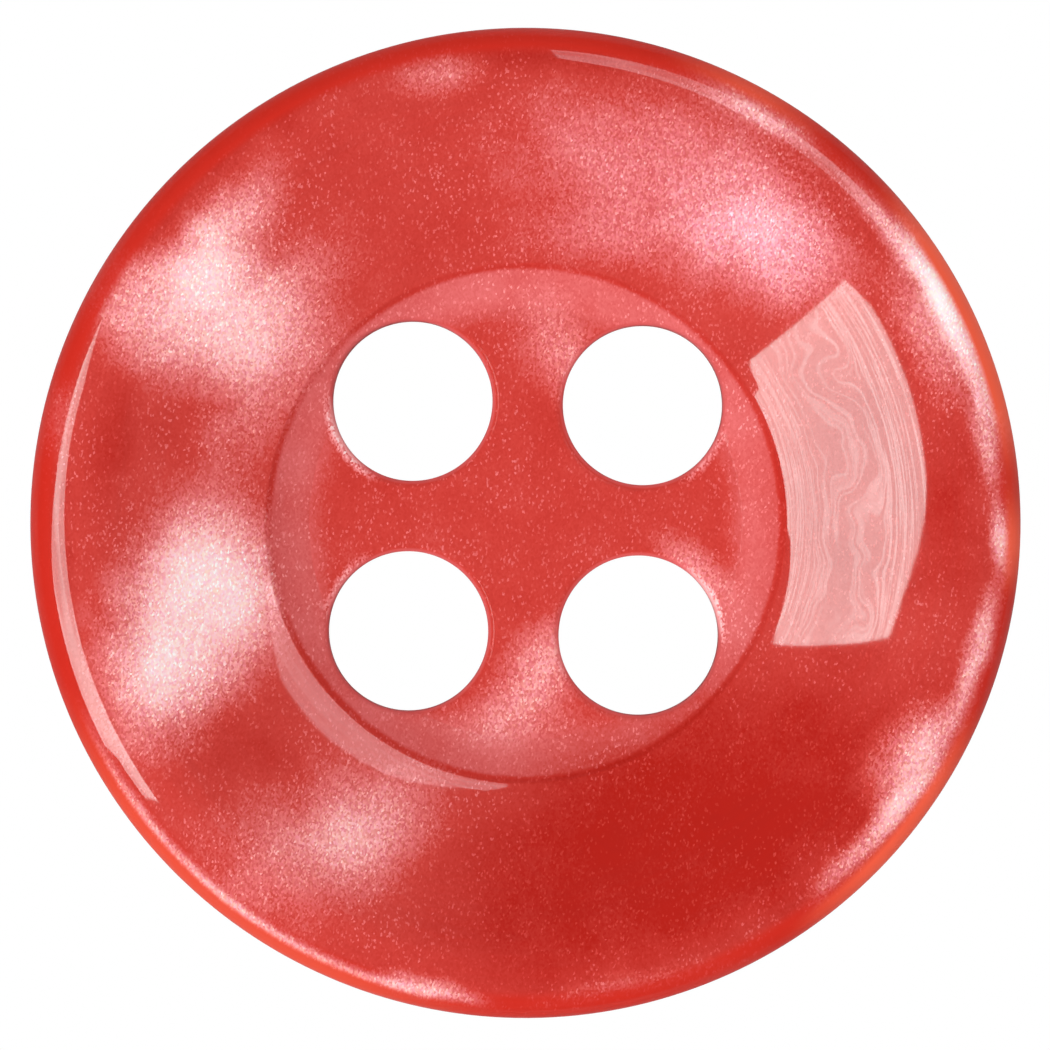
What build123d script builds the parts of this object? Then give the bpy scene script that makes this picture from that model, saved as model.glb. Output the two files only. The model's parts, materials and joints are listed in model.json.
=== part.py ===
from build123d import *
from math import acos, asin, cos, degrees, radians, sin, sqrt
import os

# A round sewing button with four holes, turned and drilled from one blank of polyester.
# Millimetres. The origin is the middle of the back, where the button rests, and +Z
# points out through the face.

# Driving dimensions of the holes
hole_diameter = 1.86
hole_pitch = 2.68  # between the centres of neighbouring holes
hole_edge_radius = 0.09  # softened by tumbling, on the face and on the back
hole_shift = 0.055  # the drilling sits this far off the turned centre, towards +Y

# Driving dimensions of the face
diameter = 11.5  # 18 ligne, the common shirt size
height = 2.4  # from the back to the crest of the lip
crest_inset = 0.685  # from the side in to the ring where the lip is highest
lip_roll_radius = 1.5
lip_corner_radius = 0.3
dish_slope = 12.1  # degrees, where the lip runs out into the dish
dish_crown_radius = 23.0  # the dish is a cone that bulges very slightly
well_margin = 0.215  # from the outer reach of the holes to the edge of the well
well_edge_radius = 0.06
wall_radius = 1.06  # the wall of the well is hollow and steepens as it rises
wall_foot_slope = 20.0  # degrees, where the wall leaves the floor
wall_foot_radius = 0.05
well_depth = 0.383  # from the edge of the well to its flat floor

# Driving dimensions of the back
land_margin = 0.475  # from the outer reach of the holes to the edge of the flat land
back_crown_radius = 6.5
back_edge_radius = 0.5

# Radii that follow from the sizes above
outer_radius = diameter / 2
crest_radius = outer_radius - crest_inset
hole_reach = hole_pitch / sqrt(2) + hole_diameter / 2
well_radius = hole_reach + well_margin
land_radius = hole_reach + land_margin

# The lip meets the corner where the two arcs are tangent
lip_centre_z = height - lip_roll_radius
corner_offset = outer_radius - lip_corner_radius - crest_radius
lip_outer_tilt = degrees(asin(corner_offset / (lip_roll_radius - lip_corner_radius)))

# The dish leaves the lip at its slope and steepens towards the well
lip_end_radius = crest_radius - lip_roll_radius * sin(radians(dish_slope))
lip_end_z = lip_centre_z + lip_roll_radius * cos(radians(dish_slope))
dish_centre_radius = lip_end_radius + dish_crown_radius * sin(radians(dish_slope))
dish_centre_z = lip_end_z - dish_crown_radius * cos(radians(dish_slope))
dish_end_slope = degrees(asin((dish_centre_radius - well_radius) / dish_crown_radius))
well_edge_z = dish_centre_z + dish_crown_radius * cos(radians(dish_end_slope))

# The well's wall rises off the floor as a hollow arc and rolls over at its edge
floor_z = well_edge_z - well_depth
foot_drop = wall_foot_radius * (1 - cos(radians(wall_foot_slope)))
wall_rise = wall_radius * cos(radians(wall_foot_slope))
edge_drop = well_edge_radius * cos(radians(dish_end_slope))
top_cosine = (foot_drop + wall_rise + edge_drop - well_depth) / (wall_radius + well_edge_radius)
wall_top_slope = degrees(acos(top_cosine))
edge_width = well_edge_radius * (sin(radians(wall_top_slope)) - sin(radians(dish_end_slope)))
wall_width = wall_radius * (sin(radians(wall_top_slope)) - sin(radians(wall_foot_slope)))
foot_width = wall_foot_radius * sin(radians(wall_foot_slope))
floor_radius = well_radius - edge_width - wall_width - foot_width

# The back's crown leaves the flat land and meets the back edge where they are tangent
back_offset = outer_radius - back_edge_radius - land_radius
back_slope = degrees(asin(back_offset / (back_crown_radius - back_edge_radius)))
back_rise = (back_crown_radius - back_edge_radius) * cos(radians(back_slope))
back_edge_z = back_crown_radius - back_rise

with BuildPart() as button:
    # Half the section, from the well's floor out over the lip and round to the back
    with BuildSketch(Plane.XZ):
        with BuildLine():
            floor = Line((0, floor_z), (floor_radius, floor_z))
            foot = JernArc(floor @ 1, floor % 1, wall_foot_radius, wall_foot_slope)
            wall = JernArc(foot @ 1, foot % 1, wall_radius, wall_top_slope - wall_foot_slope)
            well_edge = JernArc(wall @ 1, wall % 1, well_edge_radius, dish_end_slope - wall_top_slope)
            dish = JernArc(well_edge @ 1, well_edge % 1, dish_crown_radius, dish_slope - dish_end_slope)
            lip = JernArc(dish @ 1, dish % 1, lip_roll_radius, -dish_slope - lip_outer_tilt)
            corner = JernArc(lip @ 1, lip % 1, lip_corner_radius, lip_outer_tilt - 90)
            side = Line(corner @ 1, (outer_radius, back_edge_z))
            back_edge = JernArc(side @ 1, side % 1, back_edge_radius, back_slope - 90)
            back = JernArc(back_edge @ 1, back_edge % 1, back_crown_radius, -back_slope)
            land = Line(back @ 1, (0, 0))
            Line(land @ 1, floor @ 0)
        make_face()
    revolve(axis=Axis.Z)

    # Four sewing holes, drilled through the floor of the well
    with Locations((0, hole_shift)):
        with GridLocations(hole_pitch, hole_pitch, 2, 2):
            Hole(hole_diameter / 2)
    hole_edges = button.edges(Select.LAST).filter_by(GeomType.LINE, reverse=True)
    fillet(hole_edges, hole_edge_radius)

button.part.label = "button"
os.makedirs("parts", exist_ok=True)
export_step(button.part, "parts/button.step")
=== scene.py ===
import json
from math import acos, asin, cos, degrees, hypot, radians, sin, sqrt, tan

import bmesh
import bpy
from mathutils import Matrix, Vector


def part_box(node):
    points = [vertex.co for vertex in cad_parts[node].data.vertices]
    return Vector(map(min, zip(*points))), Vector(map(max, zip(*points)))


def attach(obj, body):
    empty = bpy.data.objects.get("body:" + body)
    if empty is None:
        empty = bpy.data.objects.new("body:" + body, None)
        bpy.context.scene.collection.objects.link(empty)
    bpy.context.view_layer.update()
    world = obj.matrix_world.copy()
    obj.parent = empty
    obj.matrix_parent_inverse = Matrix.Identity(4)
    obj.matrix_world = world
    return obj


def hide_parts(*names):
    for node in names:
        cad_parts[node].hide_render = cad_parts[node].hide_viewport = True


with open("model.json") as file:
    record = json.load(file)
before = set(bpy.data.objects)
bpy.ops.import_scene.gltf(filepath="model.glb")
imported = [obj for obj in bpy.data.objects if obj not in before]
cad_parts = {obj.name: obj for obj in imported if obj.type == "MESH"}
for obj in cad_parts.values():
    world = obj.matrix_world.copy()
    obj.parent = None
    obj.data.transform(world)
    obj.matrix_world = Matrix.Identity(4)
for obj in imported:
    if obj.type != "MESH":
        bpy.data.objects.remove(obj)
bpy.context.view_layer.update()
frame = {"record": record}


# The button is one solid of cast polyester. The blank is turned to its rolled lip, dished
# face, sunken well and crowned back, drilled with four sewing holes, and tumbled until its
# edges are soft. It is modelled in millimetres and brought to its real size at the end.
MILLIMETRE = 0.001
TURN_STEPS = 256
seam_merge = 0.0005

low_corner, high_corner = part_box("button")
outer_radius = (high_corner.x - low_corner.x) / 2 / MILLIMETRE
button_height = (high_corner.z - low_corner.z) / MILLIMETRE

crest_inset = 0.685
lip_roll_radius = 1.5
lip_corner_radius = 0.3
dish_slope = 12.1
dish_crown_radius = 23.0
well_radius = 3.04
well_edge_radius = 0.06
wall_radius = 1.06
wall_foot_slope = 20.0
wall_foot_radius = 0.05
well_depth = 0.383
land_radius = 3.3
back_crown_radius = 6.5
back_edge_radius = 0.5

crest_radius = outer_radius - crest_inset
corner_offset = outer_radius - lip_corner_radius - crest_radius
lip_outer_tilt = degrees(asin(corner_offset / (lip_roll_radius - lip_corner_radius)))
corner_drop = (lip_roll_radius - lip_corner_radius) * cos(radians(lip_outer_tilt))
side_top_z = button_height - lip_roll_radius + corner_drop

lip_end_radius = crest_radius - lip_roll_radius * sin(radians(dish_slope))
lip_end_z = button_height - lip_roll_radius * (1 - cos(radians(dish_slope)))
dish_centre_radius = lip_end_radius + dish_crown_radius * sin(radians(dish_slope))
dish_centre_z = lip_end_z - dish_crown_radius * cos(radians(dish_slope))
dish_end_slope = degrees(asin((dish_centre_radius - well_radius) / dish_crown_radius))
well_edge_z = dish_centre_z + dish_crown_radius * cos(radians(dish_end_slope))

floor_z = well_edge_z - well_depth
foot_drop = wall_foot_radius * (1 - cos(radians(wall_foot_slope)))
wall_rise = wall_radius * cos(radians(wall_foot_slope))
edge_drop = well_edge_radius * cos(radians(dish_end_slope))
top_cosine = (foot_drop + wall_rise + edge_drop - well_depth) / (wall_radius + well_edge_radius)
wall_top_slope = degrees(acos(top_cosine))
edge_width = well_edge_radius * (sin(radians(wall_top_slope)) - sin(radians(dish_end_slope)))
wall_width = wall_radius * (sin(radians(wall_top_slope)) - sin(radians(wall_foot_slope)))
foot_width = wall_foot_radius * sin(radians(wall_foot_slope))
floor_radius = well_radius - edge_width - wall_width - foot_width

back_offset = outer_radius - back_edge_radius - land_radius
back_slope = degrees(asin(back_offset / (back_crown_radius - back_edge_radius)))
back_edge_z = back_crown_radius - (back_crown_radius - back_edge_radius) * cos(radians(back_slope))


def start_section(name, radius, height):
    """A new object of one point, which the section is drawn from"""
    bpy.ops.object.select_all(action="DESELECT")
    bpy.ops.mesh.primitive_plane_add(size=1, location=(0, 0, 0))
    started = bpy.context.object
    started.name = started.data.name = name
    bpy.ops.object.mode_set(mode="EDIT")
    bpy.ops.mesh.select_mode(type="VERT")
    bpy.ops.mesh.merge(type="CENTER")
    bpy.ops.transform.translate(value=(radius, 0, height))
    return started


def draw_line(length, heading, steps):
    """Draws a straight stretch of the section, heading up from the +X axis by degrees"""
    across = length / steps * cos(radians(heading))
    up = length / steps * sin(radians(heading))
    for step in range(steps):
        bpy.ops.mesh.extrude_vertices_move(TRANSFORM_OT_translate={"value": (across, 0, up)})


def draw_arc(radius, heading, turn, steps):
    """Draws a round stretch of the section, which turns from its first heading"""
    chord = 2 * radius * sin(radians(abs(turn)) / 2 / steps)
    for step in range(steps):
        aim = radians(heading + turn * (step + 0.5) / steps)
        move = (chord * cos(aim), 0, chord * sin(aim))
        bpy.ops.mesh.extrude_vertices_move(TRANSFORM_OT_translate={"value": move})


button = start_section("polished_button", 0, floor_z)
draw_line(floor_radius, 0, 14)
draw_arc(wall_foot_radius, 0, wall_foot_slope, 4)
draw_arc(wall_radius, wall_foot_slope, wall_top_slope - wall_foot_slope, 14)
draw_arc(well_edge_radius, wall_top_slope, dish_end_slope - wall_top_slope, 8)
draw_arc(dish_crown_radius, dish_end_slope, dish_slope - dish_end_slope, 14)
draw_arc(lip_roll_radius, dish_slope, -dish_slope - lip_outer_tilt, 24)
draw_arc(lip_corner_radius, -lip_outer_tilt, lip_outer_tilt - 90, 14)
draw_line(side_top_z - back_edge_z, -90, 6)
draw_arc(back_edge_radius, -90, back_slope - 90, 12)
draw_arc(back_crown_radius, back_slope - 180, -back_slope, 10)
draw_line(land_radius, 180, 2)
bpy.ops.mesh.select_all(action="SELECT")
bpy.ops.mesh.spin(steps=TURN_STEPS, angle=radians(360), center=(0, 0, 0), axis=(0, 0, 1))
bpy.ops.mesh.select_all(action="SELECT")
bpy.ops.mesh.remove_doubles(threshold=seam_merge)
bpy.ops.mesh.normals_make_consistent(inside=False)
bpy.ops.object.mode_set(mode="OBJECT")

# The holes are drilled a little too wide, and a collar of even faces is then laid between
# the turned face and each hole, so that the rounding of the hole's edge runs clean
hole_mounts = [mount for mount in frame["record"]["mounts"] if mount["kind"] == "bore"]
hole_centres = [
    (mount["pos_m"][0] / MILLIMETRE, mount["pos_m"][1] / MILLIMETRE) for mount in hole_mounts
]
hole_radius = hole_mounts[0]["dims"]["r_mm"]
hole_column = abs(hole_centres[0][0])
hole_row_shift = sum(y for x, y in hole_centres) / len(hole_centres)
hole_edge_radius = 0.09
collar_width = 0.13
collar_radius = hole_radius + collar_width
drill_steps = 120
rim_merge = 0.012

bpy.ops.object.select_all(action="DESELECT")
button.select_set(True)
bpy.context.view_layer.objects.active = button
bpy.ops.object.duplicate()
undrilled = bpy.context.object
undrilled.name = "undrilled_blank"

drills = []
for x, y in hole_centres:
    bpy.ops.object.select_all(action="DESELECT")
    bpy.ops.mesh.primitive_cylinder_add(
        vertices=drill_steps, radius=collar_radius, depth=4 * button_height, location=(x, y, 0)
    )
    drills.append(bpy.context.object)
for drill in drills:
    drill.select_set(True)
bpy.ops.object.join()
drill = bpy.context.object

bpy.ops.object.select_all(action="DESELECT")
button.select_set(True)
bpy.context.view_layer.objects.active = button
bpy.ops.object.modifier_add(type="BOOLEAN")
cut = button.modifiers[-1]
cut.operation = "DIFFERENCE"
cut.solver = "EXACT"
cut.object = drill
bpy.ops.object.modifier_apply(modifier=cut.name)
bpy.data.objects.remove(drill)


def hole_distance(point, centre):
    return hypot(point.x - centre[0], point.y - centre[1])


def pick(piece, kind, wanted):
    """Selects the faces or edges of the piece in edit mode that pass a test"""
    shape = bmesh.from_edit_mesh(piece.data)
    bpy.ops.mesh.select_mode(type="FACE" if kind == "faces" else "EDGE")
    bpy.ops.mesh.select_all(action="DESELECT")
    for part in getattr(shape, kind):
        if wanted(part):
            part.select_set(True)
    shape.select_flush_mode()
    bmesh.update_edit_mesh(piece.data)


def is_drill_wall(face):
    middle = face.calc_center_median()
    near = any(hole_distance(middle, c) < collar_radius + 0.005 for c in hole_centres)
    return near and abs(face.normal.z) < 0.01


def is_land(face):
    return all(corner.co.z < 0.0001 for corner in face.verts)


def is_open_edge_at(centre, radius, above):
    """A test for the open edges round one hole, at a radius and on one side of the part"""
    def test(edge):
        near = all(abs(hole_distance(v.co, centre) - radius) < 0.01 for v in edge.verts)
        return edge.is_boundary and near and (edge.verts[0].co.z > 0.5) == above
    return test


shrink = hole_radius / collar_radius
bpy.ops.object.mode_set(mode="EDIT")
pick(button, "faces", is_drill_wall)
bpy.ops.mesh.delete(type="FACE")
pick(button, "faces", is_land)
bpy.ops.mesh.delete(type="FACE")
for centre in hole_centres:
    pick(button, "edges", is_open_edge_at(centre, collar_radius, True))
    # The merge goes by the order of the points, so the rim varies a little from run to run
    bpy.ops.mesh.remove_doubles(threshold=rim_merge)
    pick(button, "edges", is_open_edge_at(centre, collar_radius, True))
    bpy.ops.mesh.extrude_edges_move(TRANSFORM_OT_translate={"value": (0, 0, 0)})
    bpy.ops.transform.resize(value=(shrink, shrink, 1), center_override=(*centre, 0))
pick(
    button,
    "edges",
    lambda edge: any(is_open_edge_at(c, hole_radius, True)(edge) for c in hole_centres),
)
bpy.ops.object.vertex_group_assign_new()
bpy.ops.object.mode_set(mode="OBJECT")
bpy.ops.object.modifier_add(type="SHRINKWRAP")
lay = button.modifiers[-1]
lay.target = undrilled
lay.wrap_method = "PROJECT"
lay.use_project_z = True
lay.use_positive_direction = True
lay.use_negative_direction = True
lay.vertex_group = button.vertex_groups[0].name
bpy.ops.object.modifier_apply(modifier=lay.name)
bpy.ops.object.vertex_group_remove(all=True)
bpy.data.objects.remove(undrilled)

# Each hole's wall drops from its edge on the face to the back, where a second collar lies
# in the flat land, and the land is filled in between the collars
bpy.ops.object.mode_set(mode="EDIT")
for centre in hole_centres:
    pick(button, "edges", is_open_edge_at(centre, hole_radius, True))
    bpy.ops.mesh.extrude_edges_move(TRANSFORM_OT_translate={"value": (0, 0, 0)})
    bpy.ops.transform.resize(value=(1, 1, 0), center_override=(0, 0, 0))
    bpy.ops.mesh.extrude_edges_move(TRANSFORM_OT_translate={"value": (0, 0, 0)})
    bpy.ops.transform.resize(value=(1 / shrink, 1 / shrink, 1), center_override=(*centre, 0))
pick(button, "edges", lambda edge: edge.is_boundary)
bpy.ops.mesh.fill(use_beauty=True)


def is_hole_edge(edge):
    start, end = edge.verts
    level = abs(start.co.z - end.co.z) < 0.3
    return level and any(
        all(abs(hole_distance(v.co, c) - hole_radius) < 0.01 for v in edge.verts)
        for c in hole_centres
    )


pick(button, "edges", is_hole_edge)
bpy.ops.mesh.bevel(
    offset_type="WIDTH",
    offset=sqrt(2) * hole_edge_radius,
    segments=6,
    affect="EDGES",
    clamp_overlap=False,
)
bpy.ops.mesh.select_all(action="SELECT")
bpy.ops.mesh.normals_make_consistent(inside=False)
bpy.ops.object.mode_set(mode="OBJECT")

button.scale = (MILLIMETRE, MILLIMETRE, MILLIMETRE)
bpy.ops.object.transform_apply(location=True, rotation=True, scale=True)
bpy.ops.object.shade_smooth()
bpy.ops.object.modifier_add(type="WEIGHTED_NORMAL")
bpy.ops.object.modifier_apply(modifier=button.modifiers[-1].name)

# The polyester is cast with a red dye and a pearl pigment of tiny plates, which the pour
# draws out into cloudy streaks. The tumbling polishes its skin to a sharp clear gloss over
# the grainy pearl, but leaves the sunken well a little dull.
polyester = bpy.data.materials.new("red_pearl")
polyester.use_nodes = True
tree = polyester.node_tree


def add_node(tree, kind, inputs={}, **settings):
    """A node with its settings, and its inputs as plain values or as links"""
    made = tree.nodes.new(kind)
    for setting, value in settings.items():
        setattr(made, setting, value)
    for socket, value in inputs.items():
        if isinstance(value, bpy.types.NodeSocket):
            tree.links.new(value, made.inputs[socket])
        else:
            made.inputs[socket].default_value = value
    return made


def calculate(tree, operation, first, second=0.0, third=0.0, clamp=False):
    """One sum on values, which gives its result's socket"""
    sum_node = add_node(
        tree, "ShaderNodeMath", {0: first, 1: second, 2: third}, operation=operation
    )
    sum_node.use_clamp = clamp
    return sum_node.outputs[0]


def calculate_vector(tree, operation, first, second=(0, 0, 0)):
    """One sum on vectors, which gives its vector's socket"""
    sum_node = add_node(
        tree, "ShaderNodeVectorMath", {0: first, 1: second}, operation=operation
    )
    return sum_node.outputs["Vector"]


def fade(tree, value, start, end, low=0.0, high=1.0):
    """Eases from low to high as the value goes from start to end"""
    eased = add_node(
        tree,
        "ShaderNodeMapRange",
        {"Value": value, "From Min": start, "From Max": end, "To Min": low, "To Max": high},
        interpolation_type="SMOOTHSTEP",
    )
    return eased.outputs["Result"]


def start_group(name, inputs, outputs):
    """A shader node group with named sockets, and its input and output nodes"""
    group = bpy.data.node_groups.new(name, "ShaderNodeTree")
    for socket, kind in inputs:
        group.interface.new_socket(socket, in_out="INPUT", socket_type="NodeSocket" + kind)
    for socket, kind in outputs:
        group.interface.new_socket(socket, in_out="OUTPUT", socket_type="NodeSocket" + kind)
    return group, group.nodes.new("NodeGroupInput"), group.nodes.new("NodeGroupOutput")


# One cloud is an oval patch with a soft border, laid flat on the face, for pearl, painted
# sheen or painted shade. Place has 1 as its third value, so that a product with Along or
# Across tells how far out it is.
cloud_group, given, result = start_group(
    "oval_patch",
    [
        ("Place", "Vector"),
        ("Along", "Vector"),
        ("Across", "Vector"),
        ("Core", "Float"),
        ("Strength", "Float"),
    ],
    [("Mask", "Float")],
)
reaches = []
for side in ("Along", "Across"):
    reach = add_node(
        cloud_group,
        "ShaderNodeVectorMath",
        {0: given.outputs["Place"], 1: given.outputs[side]},
        operation="DOT_PRODUCT",
    )
    reaches.append(reach.outputs["Value"])
squared = calculate(cloud_group, "MULTIPLY", reaches[0], reaches[0])
squared = calculate(cloud_group, "MULTIPLY_ADD", reaches[1], reaches[1], squared)
reach = calculate(cloud_group, "SQRT", squared)
soft = fade(cloud_group, reach, 1.0, given.outputs["Core"])
strong = calculate(cloud_group, "MULTIPLY", soft, given.outputs["Strength"])
cloud_group.links.new(strong, result.inputs["Mask"])

# The grain of the pearl is a mosaic of tiny plates, taller than wide, each with its own
# chance of a painted glint, a painted highlight where a plate would catch the light
grain_group, given, result = start_group(
    "pearl_grain",
    [("Place", "Vector"), ("Plate Width", "Float"), ("Plate Stretch", "Float")],
    [("Chance", "Float"), ("Painted Glint", "Float"), ("Hue", "Color")],
)
squeezed = add_node(
    grain_group, "ShaderNodeCombineXYZ", {"X": 1.0, "Y": given.outputs["Plate Stretch"], "Z": 1.0}
)
plate_place = calculate_vector(
    grain_group, "DIVIDE", given.outputs["Place"], squeezed.outputs["Vector"]
)
plates = add_node(
    grain_group,
    "ShaderNodeTexVoronoi",
    {
        "Vector": plate_place,
        "Scale": calculate(grain_group, "DIVIDE", 1.0, given.outputs["Plate Width"]),
    },
    voronoi_dimensions="2D",
)
split = add_node(grain_group, "ShaderNodeSeparateColor", {"Color": plates.outputs["Color"]})
grain_group.links.new(split.outputs["Red"], result.inputs["Chance"])
painted_glint = fade(grain_group, split.outputs["Green"], 0.84, 1.0)
grain_group.links.new(painted_glint, result.inputs["Painted Glint"])
grain_group.links.new(plates.outputs["Color"], result.inputs["Hue"])

# Everything in the material is placed in the button's own millimetres
position = add_node(tree, "ShaderNodeTexCoord")
to_millimetres = (1 / MILLIMETRE, 1 / MILLIMETRE, 1 / MILLIMETRE)
place = calculate_vector(tree, "MULTIPLY", position.outputs["Object"], to_millimetres)
flat_place = calculate_vector(tree, "MULTIPLY", place, (1, 1, 0))
out_from_axis = add_node(tree, "ShaderNodeVectorMath", {0: flat_place}, operation="LENGTH")
radius = out_from_axis.outputs["Value"]

ragged = add_node(
    tree,
    "ShaderNodeTexNoise",
    {"Vector": flat_place, "Scale": 1.3, "Detail": 2.0, "Roughness": 0.5},
    noise_dimensions="2D",
)
push = calculate_vector(tree, "SUBTRACT", ragged.outputs["Color"], (0.5, 0.5, 0.5))
push = calculate_vector(tree, "MULTIPLY", push, (0.45, 0.45, 0))
raised = calculate_vector(tree, "ADD", flat_place, (0, 0, 1))
cloud_place = calculate_vector(tree, "ADD", raised, push)
small_push = calculate_vector(tree, "MULTIPLY", push, (0.35, 0.35, 0))
streak_place = calculate_vector(tree, "ADD", raised, small_push)


def add_cloud(middle, half_length, half_width, turn, strength, core=0.0, place=cloud_place):
    """Adds a cloud of pearl, painted sheen or painted shade at a middle in millimetres,
    its length turned by degrees
    """
    inputs = {"Place": place, "Core": core, "Strength": strength}
    for side, half, angle in (("Along", half_length, turn), ("Across", half_width, turn + 90)):
        x, y = cos(radians(angle)) / half, sin(radians(angle)) / half
        inputs[side] = (x, y, -x * middle[0] - y * middle[1])
    cloud = add_node(tree, "ShaderNodeGroup", inputs, node_tree=cloud_group)
    return cloud.outputs["Mask"]


def add_streak(*shape):
    """Adds a cloud with a less ragged border"""
    return add_cloud(*shape, place=streak_place)


def gather(masks):
    """Adds up a list of masks"""
    total = masks[0]
    for mask in masks[1:]:
        total = calculate(tree, "ADD", total, mask)
    return total


# The face shows bright clouds where the pearl was drawn out, partly painted sheen of the
# pearl catching the light, and painted shade in deeper red between them
upper_left = gather([
    add_cloud((-3.92, 2.38), 1.62, 1.12, -8, 0.60, 0.15),
    add_cloud((-3.58, 3.26), 1.36, 0.66, 54, 0.53),
    add_cloud((-2.68, 2.92), 1.10, 0.65, 20, 0.18),
    add_cloud((-2.80, 2.05), 1.30, 1.10, -50, 0.30),
    add_cloud((-3.32, 1.30), 1.00, 0.75, 80, 0.28),
])
lower_left = gather([
    add_cloud((-3.92, -1.16), 2.10, 1.22, 71, 0.74, 0.15),
    add_cloud((-3.40, -0.60), 1.20, 0.85, 0, 0.18),
    add_cloud((-3.06, -1.20), 0.85, 0.65, 90, 0.30),
    add_cloud((-4.22, -2.02), 0.85, 0.55, 70, 0.17),
])
bottom = gather([
    add_cloud((-1.78, -3.56), 1.30, 0.86, 30, 0.27),
    add_cloud((-2.36, -3.80), 2.00, 1.25, 28, 0.27),
])
upper_right = gather([
    add_cloud((2.80, 3.30), 1.60, 1.05, -36, 0.36),
    add_cloud((1.75, 3.95), 2.70, 1.45, -17, 0.26, 0.2),
    add_cloud((0.60, 3.35), 1.10, 0.60, 0, 0.12),
])
# The streaks on the lip are painted highlights of the pearl catching the light
painted_lip_sheen = gather([
    add_streak((4.96, 2.40), 2.00, 0.30, -64, 0.56, 0.2),
    add_streak((4.66, 2.30), 1.30, 0.62, -64, 0.38),
    add_streak((4.32, 3.28), 1.50, 0.26, -53, 0.45),
    add_streak((5.32, 1.05), 0.95, 0.28, -79, 0.46),
    add_streak((4.10, -3.56), 1.50, 0.24, 49, 0.50, 0.1),
    add_streak((4.62, -2.74), 1.20, 0.40, 60, 0.48, 0.1),
    add_streak((4.42, -2.52), 0.95, 0.52, 50, 0.40),
    add_streak((5.27, -1.42), 1.35, 0.24, 75, 0.54),
    add_streak((5.52, -0.10), 0.64, 0.20, 90, 0.60),
    add_streak((2.60, 4.82), 1.20, 0.26, -28, 0.42),
    add_streak((-1.10, 5.18), 0.75, 0.36, 12, 0.25),
    add_streak((-5.44, 1.10), 0.75, 0.26, 79, 0.16),
    add_streak((-1.00, -5.42), 1.05, 0.20, -11, 0.46),
    add_streak((1.33, -5.32), 2.00, 0.22, 14, 0.14),
])
# The wisps in the well are pearl, partly painted sheen
well_wisps = gather([
    add_streak((0.22, -1.66), 1.20, 0.60, 50, 0.40),
    add_streak((-0.10, -2.25), 1.15, 0.55, 10, 0.20),
    add_streak((0.44, 1.90), 1.20, 0.60, -62, 0.34),
    add_streak((1.98, -0.50), 0.85, 0.36, -42, 0.34),
])
# Painted shade darkens the red in patches of the dish and lip where little light falls
painted_shade = gather([
    add_cloud((1.95, -3.55), 4.30, 1.95, 26, -0.22, 0.3),
    add_cloud((-4.80, 0.80), 1.20, 0.50, 86, -0.12),
    add_cloud((-5.46, -0.70), 2.60, 0.34, 97, -0.14),
    add_cloud((4.98, 0.20), 1.40, 0.55, 90, -0.13),
    add_cloud((-3.40, -2.60), 1.40, 0.75, -30, -0.07),
    add_cloud((-3.60, 4.20), 2.60, 0.45, 42, -0.11),
    add_cloud((0.20, 5.45), 2.00, 0.35, 2, -0.14),
    add_cloud((3.80, 0.50), 2.60, 1.40, 90, -0.15, 0.3),
    add_streak((3.42, 3.78), 1.50, 0.36, -42, -0.13),
])

# A thin painted sheen of the pearl runs round the lower left of the lip
lower_rim = add_streak((-3.43, -4.46), 4.10, 1.70, -34, 0.85, 0.3)
line_start = fade(tree, radius, 5.46, 5.58)
line_end = fade(tree, radius, 5.59, 5.66, 0.55, 0.0)
painted_lip_line = calculate(tree, "MULTIPLY", line_start, line_end)
painted_lip_line = calculate(tree, "MULTIPLY", painted_lip_line, lower_rim)

plate_width = 0.019
plate_stretch = 1.4
grain = add_node(
    tree,
    "ShaderNodeGroup",
    {"Place": place, "Plate Width": plate_width, "Plate Stretch": plate_stretch},
    node_tree=grain_group,
)

# The grain shows on the face and back, and not on the walls of the holes or on the side
across_holes = calculate_vector(tree, "SUBTRACT", flat_place, (0, hole_row_shift, 0))
across_holes = calculate_vector(tree, "ABSOLUTE", across_holes)
across_holes = calculate_vector(tree, "SUBTRACT", across_holes, (hole_column, hole_column, 0))
from_hole = add_node(tree, "ShaderNodeVectorMath", {0: across_holes}, operation="LENGTH")
grainy = fade(tree, from_hole.outputs["Value"], hole_radius + 0.01, hole_radius + 0.05)
off_side = fade(tree, radius, 5.68, 5.74, 1.0, 0.0)
grainy = calculate(tree, "MULTIPLY", grainy, off_side)
chance = calculate(tree, "SUBTRACT", grain.outputs["Chance"], 0.5)
chance = calculate(tree, "MULTIPLY", chance, grainy)

# The plates take more or less of the pearl, most evenly where it is thick, and some of them
# carry painted glints. The clouds of the dish, partly painted sheen, stop at the edge of the well.
pearl_and_sheen = gather([upper_left, lower_left, bottom, upper_right])
pearl_and_sheen = calculate(tree, "MULTIPLY", pearl_and_sheen, fade(tree, radius, 2.92, 3.00))
pearl_and_sheen = gather([pearl_and_sheen, painted_lip_sheen, painted_lip_line, well_wisps])
uneven = calculate(tree, "MULTIPLY_ADD", pearl_and_sheen, -0.95, 0.92)
patchy = calculate(tree, "MULTIPLY_ADD", chance, uneven, 1.0)
swirl = add_node(
    tree,
    "ShaderNodeTexNoise",
    {"Vector": flat_place, "Scale": 0.9, "Detail": 2.0},
    noise_dimensions="2D",
)
pearl_and_sheen_level = calculate(tree, "MULTIPLY", pearl_and_sheen, patchy)
gathered = fade(tree, swirl.outputs["Fac"], 0.30, 0.74, 0.10, 0.25)
painted_sparkle = calculate(tree, "MULTIPLY_ADD", pearl_and_sheen, 0.14, gathered)
painted_sparkle = calculate(tree, "MULTIPLY", painted_sparkle, grain.outputs["Painted Glint"])
painted_sparkle = calculate(tree, "MULTIPLY", painted_sparkle, grainy)
mottle = calculate(tree, "MULTIPLY_ADD", ragged.outputs["Fac"], 0.16, 0.135)
fine = calculate(tree, "MULTIPLY", chance, 0.07)
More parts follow.
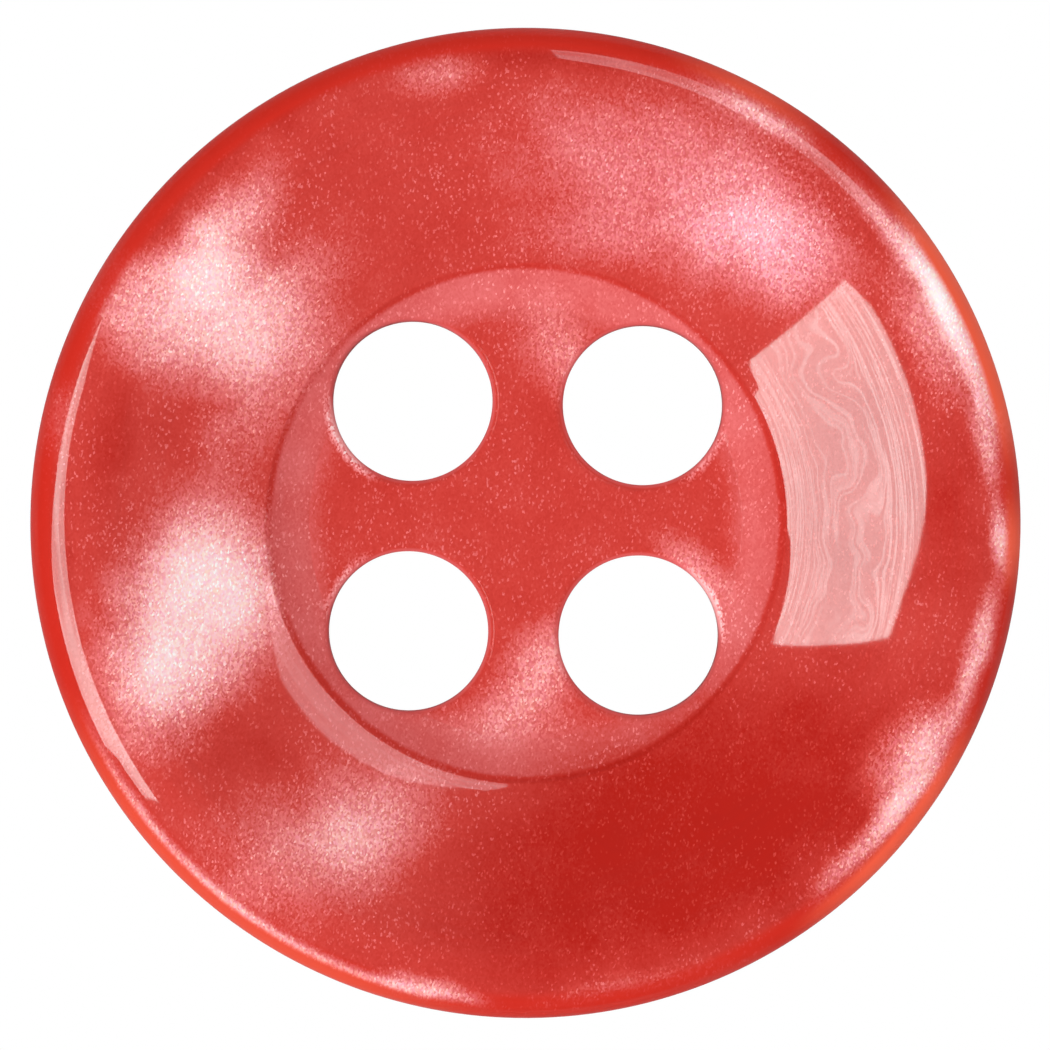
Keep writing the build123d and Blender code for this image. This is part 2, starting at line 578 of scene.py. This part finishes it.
# The level gathers the pearl with painted glints and painted shade
pearl = gather([mottle, fine, pearl_and_sheen_level, painted_sparkle, painted_shade])

# The tumbling reaches the dish and lip, but leaves the wall of the well satin, and its paleness
# there is a painted sheen
painted_wall_sheen = fade(tree, radius, 2.20, 2.70)
wall_sheen_end = fade(tree, radius, 2.92, 2.99, 1.0, 0.0)
painted_wall_sheen = calculate(tree, "MULTIPLY", painted_wall_sheen, wall_sheen_end)
pearl = calculate(tree, "MULTIPLY_ADD", painted_wall_sheen, 0.20, pearl)

# The soft edges of the holes are painted paler, a painted glow of light passing through them,
# and a painted highlight of the pearl lies in a thin arc on the outer side of each, most along
# one diagonal
painted_hole_glow = fade(tree, from_hole.outputs["Value"], hole_radius + 0.10, hole_radius, 0.0, 0.42)
outwards = add_node(
    tree,
    "ShaderNodeVectorMath",
    {0: across_holes, 1: (0.88, -0.48, 0)},
    operation="DOT_PRODUCT",
)
diagonal = add_node(
    tree, "ShaderNodeVectorMath", {0: flat_place, 1: (0.7, -0.7, 0)}, operation="DOT_PRODUCT"
)
diagonal = calculate(tree, "ABSOLUTE", diagonal.outputs["Value"])
diagonal = fade(tree, diagonal, 0.5, 1.7, 0.45, 0.85)
painted_crescent = fade(tree, from_hole.outputs["Value"], hole_radius + 0.20, hole_radius + 0.02)
painted_crescent = calculate(tree, "MULTIPLY", painted_crescent, diagonal)
painted_crescent = calculate(
    tree, "MULTIPLY", painted_crescent, fade(tree, outwards.outputs["Value"], 0.62, 1.0)
)
painted_crescent = calculate(tree, "MULTIPLY", painted_crescent, patchy)
pearl = calculate(tree, "MAXIMUM", pearl, painted_hole_glow)
pearl = calculate(tree, "MAXIMUM", pearl, painted_crescent)
pearl = calculate(tree, "MULTIPLY", pearl, 0.8, clamp=True)

red = add_node(tree, "ShaderNodeValToRGB", {"Fac": pearl})
stops = red.color_ramp.elements
stops[0].color = (0.455, 0.011, 0.005, 1)
stops[1].color = (1.0, 0.90, 0.88, 1)
stops.new(0.20).color = (0.61, 0.050, 0.038, 1)
stops.new(0.40).color = (0.79, 0.170, 0.168, 1)
stops.new(0.60).color = (0.95, 0.38, 0.375, 1)
stops.new(0.80).color = (1.0, 0.62, 0.61, 1)

# The upper right cloud, partly painted sheen, has a lilac cast, and single plates vary in hue
lilac = calculate(tree, "MULTIPLY", upper_right, 1.6, clamp=True)
tinted = add_node(
    tree,
    "ShaderNodeMix",
    {"Factor": lilac, "A": red.outputs["Color"], "B": (1.0, 0.94, 1.10, 1)},
    data_type="RGBA",
    blend_type="MULTIPLY",
)
hue_share = 0.34
hue_mix = calculate(tree, "MULTIPLY", pearl_and_sheen, grainy)
varied = add_node(
    tree,
    "ShaderNodeMix",
    {
        "Factor": calculate(tree, "MULTIPLY", hue_mix, hue_share, clamp=True),
        "A": tinted.outputs["Result"],
        "B": grain.outputs["Hue"],
    },
    data_type="RGBA",
    blend_type="SOFT_LIGHT",
)

# The corner of the lip is clear red, and a painted orange glow stands in for light that passes
# through it
clear = fade(tree, radius, 5.42, 5.56, 0.0, 0.9)
into_rim = fade(tree, radius, 2.93, 2.97, 0.0, 0.12)
out_of_rim = fade(tree, radius, 3.01, 3.06, 1.0, 0.0)
well_rim = calculate(tree, "MULTIPLY", into_rim, out_of_rim)
clear = calculate(tree, "ADD", clear, well_rim)
not_pearl = calculate(tree, "ADD", painted_lip_sheen, painted_lip_line)
not_pearl = calculate(tree, "MULTIPLY_ADD", not_pearl, -2.2, 1.0, clamp=True)
clear = calculate(tree, "MULTIPLY", clear, not_pearl)
cleared = add_node(
    tree,
    "ShaderNodeMix",
    {"Factor": clear, "A": varied.outputs["Result"], "B": (0.62, 0.021, 0.010, 1)},
    data_type="RGBA",
)
painted_glow_streaks = gather([
    calculate(tree, "MULTIPLY", lower_rim, 0.55),
    add_streak((5.08, 2.40), 2.30, 0.90, -65, 1.10, 0.3),
    add_streak((2.50, 5.00), 1.20, 0.70, -26, 0.60),
    add_streak((4.40, -3.50), 2.00, 0.80, 52, 0.90, 0.2),
    add_streak((5.60, -0.10), 0.80, 0.50, 90, 0.90),
])
edge = fade(tree, radius, 5.53, 5.64)
glow = calculate(tree, "MULTIPLY", edge, painted_glow_streaks)
colour = add_node(
    tree,
    "ShaderNodeMix",
    {"Factor": glow, "A": cleared.outputs["Result"], "B": (1.0, 0.125, 0.06, 1)},
    data_type="RGBA",
)

# Tumbling leaves faint rings in the polish, which run close and true at the borders of the
# dish and swirl in the middle of it, and which show where it mirrors a light
loose = fade(tree, radius, 3.10, 3.60)
loose_end = fade(tree, radius, 4.00, 4.45, 4.5, 0.0)
loose = calculate(tree, "MULTIPLY", loose, loose_end)
inner_rings = fade(tree, radius, 2.92, 3.40, 0.0, 12.0)
outer_rings = fade(tree, radius, 4.05, 4.75, 0.0, 8.0)
spread = calculate(tree, "MULTIPLY_ADD", radius, 4.0, inner_rings)
spread = calculate(tree, "ADD", spread, outer_rings)
spread = calculate(tree, "MULTIPLY_ADD", swirl.outputs["Fac"], loose, spread)
along = calculate_vector(tree, "NORMALIZE", flat_place)
ring_rise = add_node(tree, "ShaderNodeCombineXYZ", {"Z": spread})
ring_place = calculate_vector(tree, "ADD", along, ring_rise.outputs["Vector"])
rings = add_node(
    tree,
    "ShaderNodeTexNoise",
    {"Vector": ring_place, "Scale": 1.3, "Detail": 2.0, "Roughness": 0.6},
)
from_line = calculate(tree, "SUBTRACT", rings.outputs["Fac"], 0.5)
from_line = calculate(tree, "ABSOLUTE", from_line)
calm = fade(tree, radius, 3.20, 3.50)
calm_end = fade(tree, radius, 3.95, 4.30, 1.0, 0.0)
calm = calculate(tree, "MULTIPLY", calm, calm_end)
line_shine = calculate(tree, "MULTIPLY_ADD", calm, -0.16, 1.0)
plain_shine = calculate(tree, "MULTIPLY_ADD", calm, 0.02, 0.6)
shine = fade(tree, from_line, 0.0, 0.08, line_shine, plain_shine)
shine = calculate(tree, "MULTIPLY_ADD", chance, 0.08, shine)
least_shine = 0.04
shine = calculate(tree, "ADD", shine, least_shine)
well = fade(tree, radius, 2.97, 3.02, 0.25, 1.0)
shine = calculate(tree, "MULTIPLY", shine, well)
lip = fade(tree, radius, 4.95, 5.20, 1.0, 0.70)
shine = calculate(tree, "MULTIPLY", shine, lip)
corner = fade(tree, radius, 5.60, 5.70, 1.0, 0.5)
shine = calculate(tree, "MULTIPLY", shine, corner)

shader = tree.nodes["Principled BSDF"]
tree.links.new(colour.outputs["Result"], shader.inputs["Base Color"])
tree.links.new(shine, shader.inputs["Coat Weight"])
shader.inputs["Roughness"].default_value = 0.45
shader.inputs["Specular IOR Level"].default_value = 0.05
shader.inputs["Coat Roughness"].default_value = 0.03
shader.inputs["Coat IOR"].default_value = 1.55
button.data.materials.clear()
button.data.materials.append(polyester)

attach(button, "root")
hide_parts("button")


# The floor is a plain table that the camera sees as pure white, also through the holes,
# while it throws only its own reflected light on the button's side
floor_reach = 0.6
floor_gap = 0.01 * MILLIMETRE
bpy.ops.object.select_all(action="DESELECT")
bpy.ops.mesh.primitive_circle_add(
    vertices=128, radius=floor_reach, fill_type="NGON", location=(0, 0, -floor_gap)
)
table = bpy.context.object
table.name = "white_table"
white = bpy.data.materials.new("white_table")
white.use_nodes = True
white_tree = white.node_tree
white_shader = white_tree.nodes["Principled BSDF"]
white_shader.inputs["Base Color"].default_value = (0.5, 0.5, 0.5, 1)
white_shader.inputs["Roughness"].default_value = 0.9
white_shader.inputs["Specular IOR Level"].default_value = 0.0
plain_white = add_node(
    white_tree, "ShaderNodeEmission", {"Color": (1, 1, 1, 1), "Strength": 1.0}
)
seen = add_node(white_tree, "ShaderNodeLightPath")
either = add_node(
    white_tree,
    "ShaderNodeMixShader",
    {0: seen.outputs["Is Camera Ray"], 1: white_shader.outputs[0], 2: plain_white.outputs[0]},
)
white_output = white_tree.nodes["Material Output"]
white_tree.links.new(either.outputs["Shader"], white_output.inputs["Surface"])
table.data.materials.append(white)


# The lights are soft boxes round the camera, which leave the space above the button dark
# for its face to mirror
def hang_light(name, height, outline, brightness, colour=(1, 1, 1)):
    """A glowing panel, its corners given as polar angle and azimuth seen from the button"""
    points = []
    for (polar, turn), (next_polar, next_turn) in zip(outline, outline[1:] + outline[:1]):
        steps = max(1, round(abs(next_turn - turn) / 4))
        for step in range(steps):
            reach = height * tan(radians(polar + (next_polar - polar) * step / steps))
            bearing = radians(turn + (next_turn - turn) * step / steps)
            points.append((reach * cos(bearing), reach * sin(bearing)))
    bpy.ops.object.select_all(action="DESELECT")
    bpy.ops.mesh.primitive_plane_add(size=0.01, location=(0, 0, 0))
    light = bpy.context.object
    light.name = name
    bpy.ops.object.mode_set(mode="EDIT")
    bpy.ops.mesh.select_mode(type="VERT")
    bpy.ops.mesh.merge(type="CENTER")
    bpy.ops.transform.translate(value=(*points[0], height))
    for (x, y), (next_x, next_y) in zip(points, points[1:]):
        move = (next_x - x, next_y - y, 0)
        bpy.ops.mesh.extrude_vertices_move(TRANSFORM_OT_translate={"value": move})
    bpy.ops.mesh.select_all(action="SELECT")
    bpy.ops.mesh.edge_face_add()
    bpy.ops.object.mode_set(mode="OBJECT")
    glow = bpy.data.materials.new(name)
    glow.use_nodes = True
    glow.node_tree.nodes.clear()
    emission = add_node(
        glow.node_tree, "ShaderNodeEmission", {"Color": (*colour, 1), "Strength": brightness}
    )
    add_node(
        glow.node_tree, "ShaderNodeOutputMaterial", {"Surface": emission.outputs["Emission"]}
    )
    light.data.materials.append(glow)
    light.visible_camera = False
    return light


light_height = 0.4
window_white = (0.83, 1.0, 0.985)
lilac_white = (1.0, 0.98, 1.03)
window = [
    (24.4, 163.6), (24.2, 170.1), (23.4, 180.1), (22.8, 187.1), (22.4, 201), (22.3, 213.1),
    (23.0, 218.3), (27.2, 217.4), (31.0, 217), (32.0, 211), (37, 209), (37, 188),
    (33, 177), (32.1, 169), (31.1, 155)
]
hang_light("window_light", light_height, window, 10.2, window_white)

near_panel = [
    (29.9, 14), (28.2, 22), (27.0, 34), (26.8, 48), (27.2, 62), (28.2, 76), (28.9, 83), (30.4, 87),
    (37, 88), (37, 14)
]
near_height = 0.0548
hang_light("near_light", near_height, near_panel, 3.7, lilac_white)


# Three broad soft fills brighten the pearl, and are kept out of the polish's reflections
fill_panel = [(8, -60), (8, 85), (66, 85), (66, -60)]
low_panel = [(60, 200), (80, 205), (78, 262), (62, 268), (38, 268), (42, 225)]
back_panel = [(64, 95), (80, 95), (80, 175), (64, 175)]
fills = [
    hang_light("soft_fill", light_height, fill_panel, 1.10),
    hang_light("low_left_fill", light_height, low_panel, 3.4, lilac_white),
    hang_light("low_back_fill", light_height, back_panel, 2.2),
]
for fill in fills:
    fill.visible_glossy = False

world = bpy.data.worlds.new("studio")
bpy.context.scene.world = world
world.use_nodes = True
backdrop = world.node_tree.nodes["Background"]
backdrop.inputs["Color"].default_value = (1, 1, 1, 1)
studio_light = 0.11
world_seen = add_node(world.node_tree, "ShaderNodeLightPath")
backdrop_strength = fade(
    world.node_tree, world_seen.outputs["Is Camera Ray"], 0.0, 1.0, studio_light, 1.0
)
world.node_tree.links.new(backdrop_strength, backdrop.inputs["Strength"])

# The camera is a long lens straight above the face, turned a touch, as in the photograph
picture_width = 0.012192
picture_plane = side_top_z * MILLIMETRE
camera_distance = 0.3
camera_right = -0.0046 * MILLIMETRE
camera_up = -0.0244 * MILLIMETRE
camera_turn = 1.07
camera_data = bpy.data.cameras.new("long_lens")
camera_data.sensor_width = 36
camera_data.lens = camera_data.sensor_width * camera_distance / picture_width
camera_data.clip_start = 0.01
camera_data.clip_end = 10
camera = bpy.data.objects.new("camera", camera_data)
bpy.context.scene.collection.objects.link(camera)
camera.location = (camera_right, camera_up, picture_plane + camera_distance)
camera.rotation_euler = (0, 0, radians(camera_turn))
bpy.context.scene.camera = camera
bpy.context.scene.view_settings.view_transform = "Standard"
